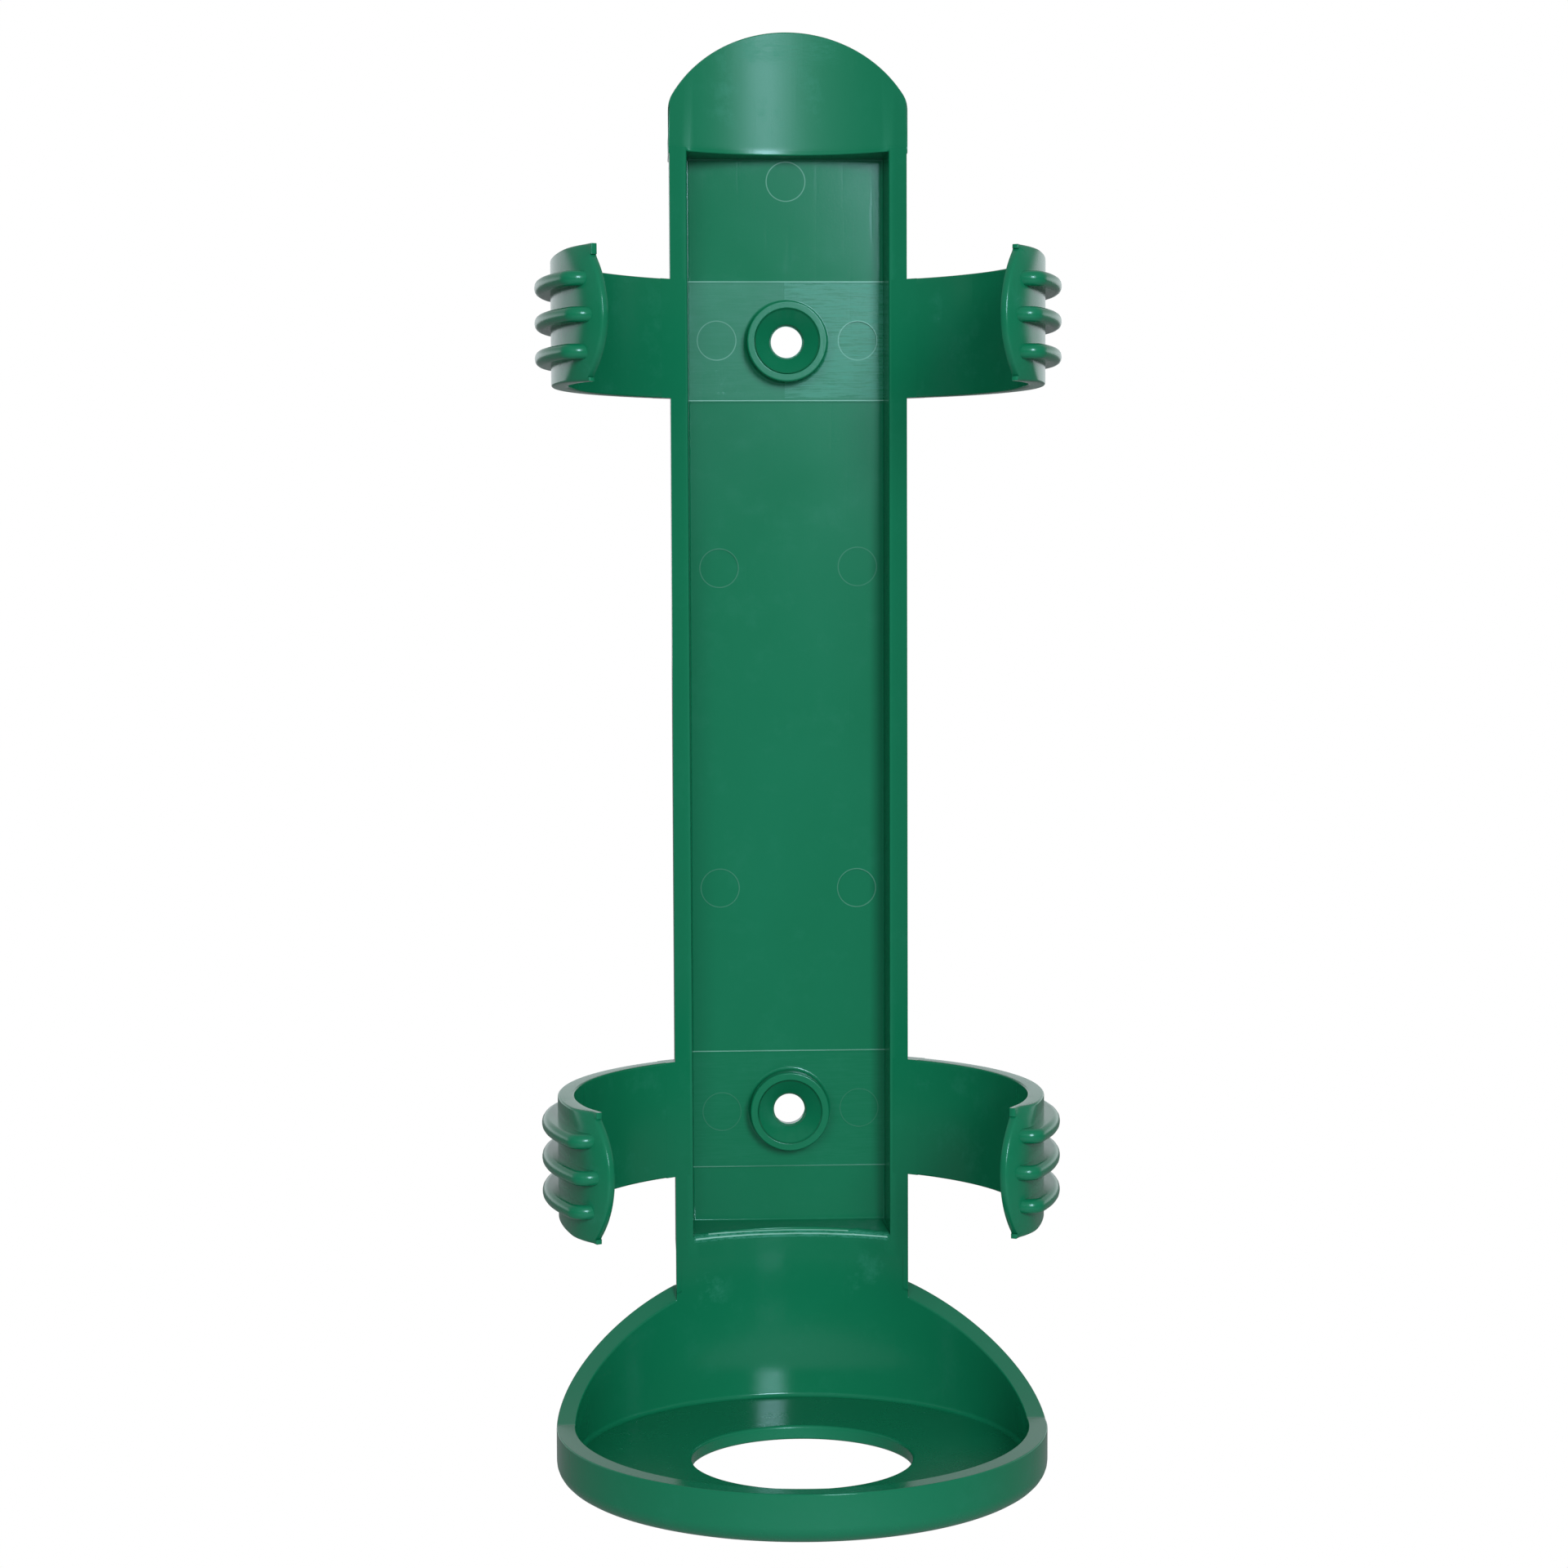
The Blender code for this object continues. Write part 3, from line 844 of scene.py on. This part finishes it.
def finish_shading(item, rail_top=None):
    """Smooth shading over the rounded edges, sharp only where the moulding is."""
    shape = bmesh.new()
    shape.from_mesh(item.data)
    if rail_top is not None:
        # The long rail strips end here, so that they don't sway the guard's shading.
        divide(shape, 2, rail_top, [face for face in shape.faces if on_rail_front(face)])
    bmesh.ops.remove_doubles(shape, verts=shape.verts, dist=SEAM)
    bmesh.ops.dissolve_degenerate(shape, edges=shape.edges, dist=SEAM)
    bmesh.ops.recalc_face_normals(shape, faces=shape.faces)
    shape.to_mesh(item.data)
    shape.free()
    item.data.shade_smooth()
    item.data.set_sharp_from_angle(angle=SHARP_ABOVE)
    shading = item.modifiers.new("shading", "WEIGHTED_NORMAL")
    shading.keep_sharp = True


def add_node(tree, kind, links=(), **settings):
    """A node with its settings, its constants by socket name and its links."""
    node = tree.nodes.new(kind)
    for key, value in settings.items():
        if key in node.inputs:
            node.inputs[key].default_value = value
        else:
            setattr(node, key, value)
    for source, target in links:
        tree.links.new(source, node.inputs[target])
    return node


def new_group(name, inputs, outputs):
    """An empty node group with named sockets."""
    group = bpy.data.node_groups.new(name, "ShaderNodeTree")
    for label, kind, value in inputs:
        socket = group.interface.new_socket(label, in_out="INPUT", socket_type=kind)
        if value is not None:
            socket.default_value = value
    for label in outputs:
        group.interface.new_socket(label, in_out="OUTPUT", socket_type="NodeSocketFloat")
    return group, group.nodes.new("NodeGroupInput"), group.nodes.new("NodeGroupOutput")


def surface_group():
    """Flow marks, hairline scratches, rubbed patches and fine grain of moulded plastic."""
    group, given, out = new_group(
        "moulded_surface",
        (("Vector", "NodeSocketVector", None), ("Flow Scale", "NodeSocketFloat", 38.0),
         ("Scratch Scale", "NodeSocketFloat", 1500.0), ("Rub Scale", "NodeSocketFloat", 170.0),
         ("Grain Scale", "NodeSocketFloat", 3000.0)),
        ("Flow", "Scratches", "Rubs", "Grain"))
    vector = given.outputs["Vector"]
    flow = add_node(group, "ShaderNodeTexNoise",
                    ((vector, "Vector"), (given.outputs["Flow Scale"], "Scale")),
                    Detail=3.0, Distortion=0.6)
    stretch = add_node(group, "ShaderNodeMapping", ((vector, "Vector"),),
                       Scale=(1.0, 1.0, 0.03), Rotation=(0.0, math.radians(5.0), 0.0))
    hair = add_node(group, "ShaderNodeTexNoise",
                    ((stretch.outputs["Vector"], "Vector"), (given.outputs["Scratch Scale"], "Scale")),
                    Detail=3.0)
    pick = add_node(group, "ShaderNodeMapRange", ((hair.outputs["Fac"], "Value"),),
                    **{"From Min": 0.60, "From Max": 0.76})
    cloud = add_node(group, "ShaderNodeTexNoise",
                     ((vector, "Vector"), (given.outputs["Rub Scale"], "Scale")),
                     Detail=8.0, Roughness=0.74)
    spread = add_node(group, "ShaderNodeMapRange", ((cloud.outputs["Fac"], "Value"),),
                      **{"From Min": 0.53, "From Max": 0.78})
    grain = add_node(group, "ShaderNodeTexNoise",
                     ((vector, "Vector"), (given.outputs["Grain Scale"], "Scale")), Detail=2.0)
    group.links.new(flow.outputs["Fac"], out.inputs["Flow"])
    group.links.new(pick.outputs["Result"], out.inputs["Scratches"])
    group.links.new(spread.outputs["Result"], out.inputs["Rubs"])
    group.links.new(grain.outputs["Fac"], out.inputs["Grain"])
    return group


def region_group():
    """A soft-edged box: 1 inside, 0 outside."""
    group, given, out = new_group(
        "region", (("Vector", "NodeSocketVector", None), ("Low", "NodeSocketVector", None),
                   ("High", "NodeSocketVector", None), ("Softness", "NodeSocketFloat", 0.001)),
        ("Mask",))
    from_low = add_node(group, "ShaderNodeVectorMath",
                        ((given.outputs["Vector"], 0), (given.outputs["Low"], 1)), operation="SUBTRACT")
    from_high = add_node(group, "ShaderNodeVectorMath",
                         ((given.outputs["High"], 0), (given.outputs["Vector"], 1)), operation="SUBTRACT")
    nearest = add_node(group, "ShaderNodeVectorMath",
                       ((from_low.outputs["Vector"], 0), (from_high.outputs["Vector"], 1)),
                       operation="MINIMUM")
    axes = add_node(group, "ShaderNodeSeparateXYZ", ((nearest.outputs["Vector"], "Vector"),))
    flat = add_node(group, "ShaderNodeMath", ((axes.outputs["X"], 0), (axes.outputs["Y"], 1)),
                    operation="MINIMUM")
    least = add_node(group, "ShaderNodeMath", ((flat.outputs["Value"], 0), (axes.outputs["Z"], 1)),
                     operation="MINIMUM")
    fade = add_node(group, "ShaderNodeMapRange", ((least.outputs["Value"], "Value"),
                                                  (given.outputs["Softness"], "From Max")),
                    interpolation_type="SMOOTHSTEP")
    group.links.new(fade.outputs["Result"], out.inputs["Mask"])
    return group


def ring_group():
    """A fine circle about an axis along Y: 1 on the line, 0 off it."""
    group, given, out = new_group(
        "ring", (("Vector", "NodeSocketVector", None), ("Centre", "NodeSocketVector", None),
                 ("Radius", "NodeSocketFloat", 0.003), ("Width", "NodeSocketFloat", 0.0001)),
        ("Mask",))
    off_centre = add_node(group, "ShaderNodeVectorMath",
                          ((given.outputs["Vector"], 0), (given.outputs["Centre"], 1)), operation="SUBTRACT")
    flat = add_node(group, "ShaderNodeVectorMath", ((off_centre.outputs["Vector"], 0),),
                    operation="MULTIPLY")
    flat.inputs[1].default_value = (1.0, 0.0, 1.0)
    reach = add_node(group, "ShaderNodeVectorMath", ((flat.outputs["Vector"], 0),), operation="LENGTH")
    apart = add_node(group, "ShaderNodeMath", ((reach.outputs["Value"], 0), (given.outputs["Radius"], 1)),
                     operation="SUBTRACT")
    distance = add_node(group, "ShaderNodeMath", ((apart.outputs["Value"], 0),), operation="ABSOLUTE")
    fade = add_node(group, "ShaderNodeMapRange", ((distance.outputs["Value"], "Value"),
                                                  (given.outputs["Width"], "From Max")),
                    interpolation_type="SMOOTHSTEP", **{"To Min": 1.0, "To Max": 0.0})
    group.links.new(fade.outputs["Result"], out.inputs["Mask"])
    return group


moulded_surface = surface_group()
region = region_group()
ring = ring_group()

DEEP_GREEN = (0.0045, 0.150, 0.066, 1.0)
FLOW_GREEN = (0.0045, 0.166, 0.078, 1.0)
# Rubbed wear, and also the lighter colour of brushed lines, which in part is a painted sheen.
RUBBED_AND_SHEEN_GREEN = (0.030, 0.240, 0.155, 1.0)
# Painted highlight: a pale green laid along the flash lines, the lower ledge's edge and the pins' rims.
PAINTED_HIGHLIGHT_GREEN = (0.30, 0.62, 0.52, 1.0)
BASE_ROUGHNESS = 0.20
PLASTIC_IOR = 1.49
REFLECTION_TINT = (0.62, 0.88, 1.0, 1.0)
FLOW_ROUGHNESS = 0.06
RUB_ROUGHNESS = 0.20
BRUSH_ROUGHNESS = 0.24
SCRATCH_HEIGHT = -0.7
BRUSH_HEIGHT = 0.35
RUB_HEIGHT = -0.8
FLOW_HEIGHT = 1.5
RING_SOFTNESS = 1.3
RING_GAIN = 2.0
BUMP_STRENGTH = 0.14
BUMP_DEPTH = 0.03 * MM

# The pocket's inside with its two ledges, the only place that the painted highlight lines and rings show.
POCKET_LOW = (-16 * MM, -14 * MM, -80 * MM)
POCKET_HIGH = (16 * MM, -1.2 * MM, 89 * MM)
POCKET_SOFTNESS = 0.05 * MM


def green_plastic(name, rough_places=(), rubbed_places=(), brushed_and_sheen_places=(), painted_highlight_places=(),
                  highlight_rings=(), rub_everywhere=0.12):
    """Semi-gloss green polypropylene with its wear, a partly painted sheen and painted highlights; the
    places and rings are set out below.
    """
    material = bpy.data.materials.new(name)
    material.use_nodes = True
    tree = material.node_tree
    shader = tree.nodes["Principled BSDF"]
    shader.inputs["IOR"].default_value = PLASTIC_IOR
    shader.inputs["Specular Tint"].default_value = REFLECTION_TINT
    where = add_node(tree, "ShaderNodeTexCoord").outputs["Object"]

    def placed(effect, **values):
        """One of the shared effects, placed on the piece with its own values."""
        return add_node(tree, "ShaderNodeGroup", ((where, "Vector"),), node_tree=effect, **values)

    def more(total, part, share):
        """A total with a share of one more value added."""
        step = add_node(tree, "ShaderNodeMath", ((part, 0), (total, 2)), operation="MULTIPLY_ADD")
        step.inputs[1].default_value = share
        return step.outputs["Value"]

    def amount_in(places, everywhere):
        """The sum of several places' amounts, over one that holds everywhere."""
        total = add_node(tree, "ShaderNodeValue").outputs["Value"]
        total.default_value = everywhere
        for low, high, softness, amount in places:
            box = placed(region, Low=[c * MM for c in low], High=[c * MM for c in high],
                         Softness=softness * MM)
            total = more(total, box.outputs["Mask"], amount)
        return total

    def product(a, b):
        """Two values multiplied."""
        node = add_node(tree, "ShaderNodeMath", ((a, 0), (b, 1)), operation="MULTIPLY", use_clamp=True)
        return node.outputs["Value"]

    def blended(factor, under, over):
        """One colour laid over another."""
        node = add_node(tree, "ShaderNodeMix", ((factor, "Factor"),), data_type="RGBA")
        node.inputs["B"].default_value = over
        if isinstance(under, tuple):
            node.inputs["A"].default_value = under
        else:
            tree.links.new(under, node.inputs["A"])
        return node.outputs["Result"]

    surface = placed(moulded_surface)

    # Brushed places carry fine lines across the part, left by the mould's polishing; the lines also lighten
    # the colour, which is partly a painted sheen.
    squash = add_node(tree, "ShaderNodeMapping", ((where, "Vector"),), Scale=(0.06, 1.0, 1.0))
    lines = add_node(tree, "ShaderNodeTexNoise", ((squash.outputs["Vector"], "Vector"),),
                     Scale=4200.0, Detail=6.0, Roughness=0.7)
    line_mask = add_node(tree, "ShaderNodeMapRange", ((lines.outputs["Fac"], "Value"),),
                         **{"From Min": 0.40, "From Max": 0.66})
    brushed_and_sheen = product(line_mask.outputs["Result"], amount_in(brushed_and_sheen_places, 0.0))
    rubbed = product(surface.outputs["Rubs"], amount_in(rubbed_places, rub_everywhere))

    colour = blended(surface.outputs["Flow"], DEEP_GREEN, FLOW_GREEN)
    colour = blended(rubbed, colour, RUBBED_AND_SHEEN_GREEN)
    # Painted sheen: the brushed lines lighten the colour, most on the upper pad's right half and the lower
    # ledge's edge.
    colour = blended(brushed_and_sheen, colour, RUBBED_AND_SHEEN_GREEN)
    # Painted highlights: pale lines along the flash and the lower ledge's edge, and pale rings round the
    # pins' rims.
    white = amount_in(painted_highlight_places, 0.0)
    for x, level, _, pale in highlight_rings:
        circle = placed(ring, Centre=(x, 0.0, level), Radius=PIN_R + PIN_RIM / 2,
                        Width=RING_SOFTNESS * PIN_RIM)
        white = more(white, circle.outputs["Mask"], RING_GAIN * pale)
    white = product(surface.outputs["Flow"], white)
    pocket = placed(region, Low=POCKET_LOW, High=POCKET_HIGH, Softness=POCKET_SOFTNESS)
    white = product(pocket.outputs["Mask"], white)
    colour = blended(white, colour, PAINTED_HIGHLIGHT_GREEN)
    tree.links.new(colour, shader.inputs["Base Color"])

    rough = amount_in(rough_places, BASE_ROUGHNESS)
    rough = more(rough, surface.outputs["Flow"], FLOW_ROUGHNESS)
    rough = more(rough, rubbed, RUB_ROUGHNESS)
    rough = more(rough, brushed_and_sheen, BRUSH_ROUGHNESS)
    tree.links.new(rough, shader.inputs["Roughness"])

    height = surface.outputs["Grain"]
    height = more(height, surface.outputs["Scratches"], SCRATCH_HEIGHT)
    height = more(height, brushed_and_sheen, BRUSH_HEIGHT)
    height = more(height, rubbed, RUB_HEIGHT)
    height = more(height, surface.outputs["Flow"], FLOW_HEIGHT)
    bump = add_node(tree, "ShaderNodeBump", ((height, "Height"),), Strength=BUMP_STRENGTH,
                    Distance=BUMP_DEPTH)
    tree.links.new(bump.outputs["Normal"], shader.inputs["Normal"])
    return material


# Each place is a box: its low and high corner and how soft its edge is, in millimetres,
# and how much of the effect it adds.
ROUGH_PLACES = (
    ((-30.0, -40.0, 88.6), (30.0, -2.6, 110.0), 1.0, 0.16),
    ((-15.6, -3.0, 69.3), (15.6, -1.2, 88.6), 0.3, -0.10),
    ((-15.6, -3.0, -80.0), (15.6, -1.2, 51.0), 0.3, -0.05),
    ((-40.0, -80.0, -105.2), (40.0, -2.6, -82.0), 0.5, -0.08),
    ((-40.0, -80.0, -110.0), (40.0, -2.6, -105.0), 0.3, 0.04),
)
RUBBED_PLACES = (
    ((-14.0, -40.0, 89.5), (10.0, -2.6, 110.0), 6.0, 0.6),
    ((-16.0, -14.0, -92.0), (-9.0, -2.6, -80.5), 2.5, 0.7),
    ((8.0, -14.0, -90.0), (16.0, -2.6, -80.5), 2.5, 0.5),
    ((-15.0, -3.2, 51.4), (-6.0, -1.2, 57.0), 2.0, 1.5),
)
# Brushed places; the lighter colour of their lines on the upper pad's right half and the lower ledge's edge
# is a painted sheen.
BRUSHED_AND_SHEEN_PLACES = (
    ((-0.3, -3.2, 51.4), (15.2, -1.2, 69.3), 0.12, 0.75),
    ((-15.2, -3.2, 51.2), (15.2, -1.2, 69.4), 0.2, 0.12),
    ((-15.2, -3.2, -69.3), (15.2, -1.2, -51.2), 0.2, 0.10),
    ((-9.0, -40.0, 101.0), (9.0, -2.6, 107.5), 3.0, 0.35),
    ((-15.3, -14.0, -79.9), (15.3, -3.2, -78.5), 0.3, 1.3),
)
# Painted highlights: pale lines along the flash at each pad's ends, and two streaks on the lower ledge's
# front edge.
PAINTED_HIGHLIGHT_PLACES = (
    ((-15.3, -3.2, 69.27), (15.3, -1.2, 69.43), 0.03, 1.3),
    ((-15.3, -3.2, 50.97), (15.3, -1.2, 51.12), 0.03, 1.3),
    ((-15.3, -3.2, -50.9), (15.3, -1.2, -50.7), 0.03, 0.9),
    ((-15.3, -3.2, -69.25), (15.3, -1.2, -69.05), 0.03, 0.5),
    ((-15.0, -14.0, -79.4), (15.0, -3.2, -79.1), 0.08, 1.5),
    ((-13.0, -14.0, -78.8), (9.0, -3.2, -78.55), 0.08, 1.2),
)

members = frame["record"]["behaviour"]["bodies"]

finish_shading(bracket, RAIL_STRIP_TOP)
bracket.data.materials.clear()
bracket.data.materials.append(green_plastic("bracket_plastic", ROUGH_PLACES, RUBBED_PLACES,
                                            BRUSHED_AND_SHEEN_PLACES, PAINTED_HIGHLIGHT_PLACES, PINS))
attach(bracket, "bracket")
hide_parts(*members["bracket"])

arm_plastic = green_plastic("arm_plastic", rub_everywhere=0.3)
for place, side, level, arm in arms:
    finish_shading(arm)
    arm.data.materials.clear()
    arm.data.materials.append(arm_plastic)
    start = on_ring(BOTTLE_R, STUB_END, level)
    end = on_ring(BOTTLE_R, RIB_START_TURN, level)
    start.x *= side
    end.x *= side
    settle(arm)
    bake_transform(arm)
    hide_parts(*members[place + "_clip"])


# ---------------------------------------------------------------------------
# Studio
# A pale seamless floor well below the hanging bracket, a surround that is
# bright behind and dim in front, one soft window to the front right and a
# broad weak fill to the front left.
# ---------------------------------------------------------------------------

FLOOR_DROP = 0.35
FLOOR_SIZE = 15.0
PAPER_GREY = (0.45, 0.45, 0.45, 1.0)
PAPER_ROUGHNESS = 0.9
PURE_WHITE = (1.0, 1.0, 1.0, 1.0)


def show_camera(tree, lit, shown, output):
    """Let one shader light the room and another be what the camera sees."""
    rays = add_node(tree, "ShaderNodeLightPath")
    choose = add_node(tree, "ShaderNodeMixShader",
                      ((rays.outputs["Is Camera Ray"], "Fac"), (lit, 1), (shown, 2)))
    tree.links.new(choose.outputs["Shader"], tree.nodes[output].inputs["Surface"])


floor_shape = bmesh.new()
bmesh.ops.create_grid(floor_shape, x_segments=1, y_segments=1, size=FLOOR_SIZE,
                      matrix=Matrix.Translation((0.0, 0.0, CUP_BASE - FLOOR_DROP)))
studio_floor = as_object("studio_floor", floor_shape)
paper = bpy.data.materials.new("white_paper")
paper.use_nodes = True
sheet = paper.node_tree.nodes["Principled BSDF"]
sheet.inputs["Base Color"].default_value = PAPER_GREY
sheet.inputs["Roughness"].default_value = PAPER_ROUGHNESS
overexposed = add_node(paper.node_tree, "ShaderNodeEmission", Color=PURE_WHITE)
show_camera(paper.node_tree, sheet.outputs["BSDF"], overexposed.outputs["Emission"], "Material Output")
studio_floor.data.materials.append(paper)

FRONT_LOW = 0.05
FRONT_HIGH = 0.34
BEHIND = 1.1
BEHIND_HIGH_UP = 0.18
DAYLIGHT = (0.93, 0.97, 1.0, 1.0)

world = bpy.data.worlds.new("studio")
bpy.context.scene.world = world
world.use_nodes = True
sky = world.node_tree
way = add_node(sky, "ShaderNodeTexCoord")
split = add_node(sky, "ShaderNodeSeparateXYZ", ((way.outputs["Generated"], "Vector"),))


def ramp_over(direction, low, high, at_low, at_high):
    """A smooth change of brightness over one direction of the surround."""
    node = add_node(sky, "ShaderNodeMapRange", ((split.outputs[direction], "Value"),),
                    interpolation_type="SMOOTHSTEP",
                    **{"From Min": low, "From Max": high, "To Min": at_low, "To Max": at_high})
    return node.outputs["Result"]


front_light = ramp_over("Z", -0.15, 0.45, FRONT_LOW, FRONT_HIGH)
back_light = ramp_over("Y", -0.1, 0.5, 0.0, BEHIND)
low_down = ramp_over("Z", 0.08, 0.32, 1.0, BEHIND_HIGH_UP)
sweep = add_node(sky, "ShaderNodeMath", ((back_light, 0), (low_down, 1)), operation="MULTIPLY")
total = add_node(sky, "ShaderNodeMath", ((front_light, 0), (sweep.outputs["Value"], 1)),
                 operation="ADD")
surround = sky.nodes["Background"]
surround.inputs["Color"].default_value = DAYLIGHT
sky.links.new(total.outputs["Value"], surround.inputs["Strength"])
seen = add_node(sky, "ShaderNodeBackground", Color=PURE_WHITE)
show_camera(sky, surround.outputs["Background"], seen.outputs["Background"], "World Output")


def lamp(name, energy, location, aim, size, size_y, colour):
    """A soft rectangular lamp, pointed at a place."""
    data = bpy.data.lights.new(name, "AREA")
    data.energy = energy
    data.shape = "RECTANGLE"
    data.size = size
    data.size_y = size_y
    data.color = colour
    item = bpy.data.objects.new(name, data)
    item.location = location
    item.rotation_euler = (Vector(aim) - Vector(location)).to_track_quat("-Z", "Y").to_euler()
    bpy.context.scene.collection.objects.link(item)
    return item


lamp("window", energy=14.0, location=(0.34, -1.45, 0.42), aim=(0.0, 0.0, 0.03),
     size=0.34, size_y=0.42, colour=(0.9, 0.97, 1.0))
fill = lamp("fill", energy=8.0, location=(-0.35, -1.50, 0.42), aim=(0.0, 0.0, 0.0),
            size=0.9, size_y=0.6, colour=(0.95, 0.98, 1.0))
fill.visible_glossy = False

bpy.context.scene.view_settings.view_transform = "Standard"
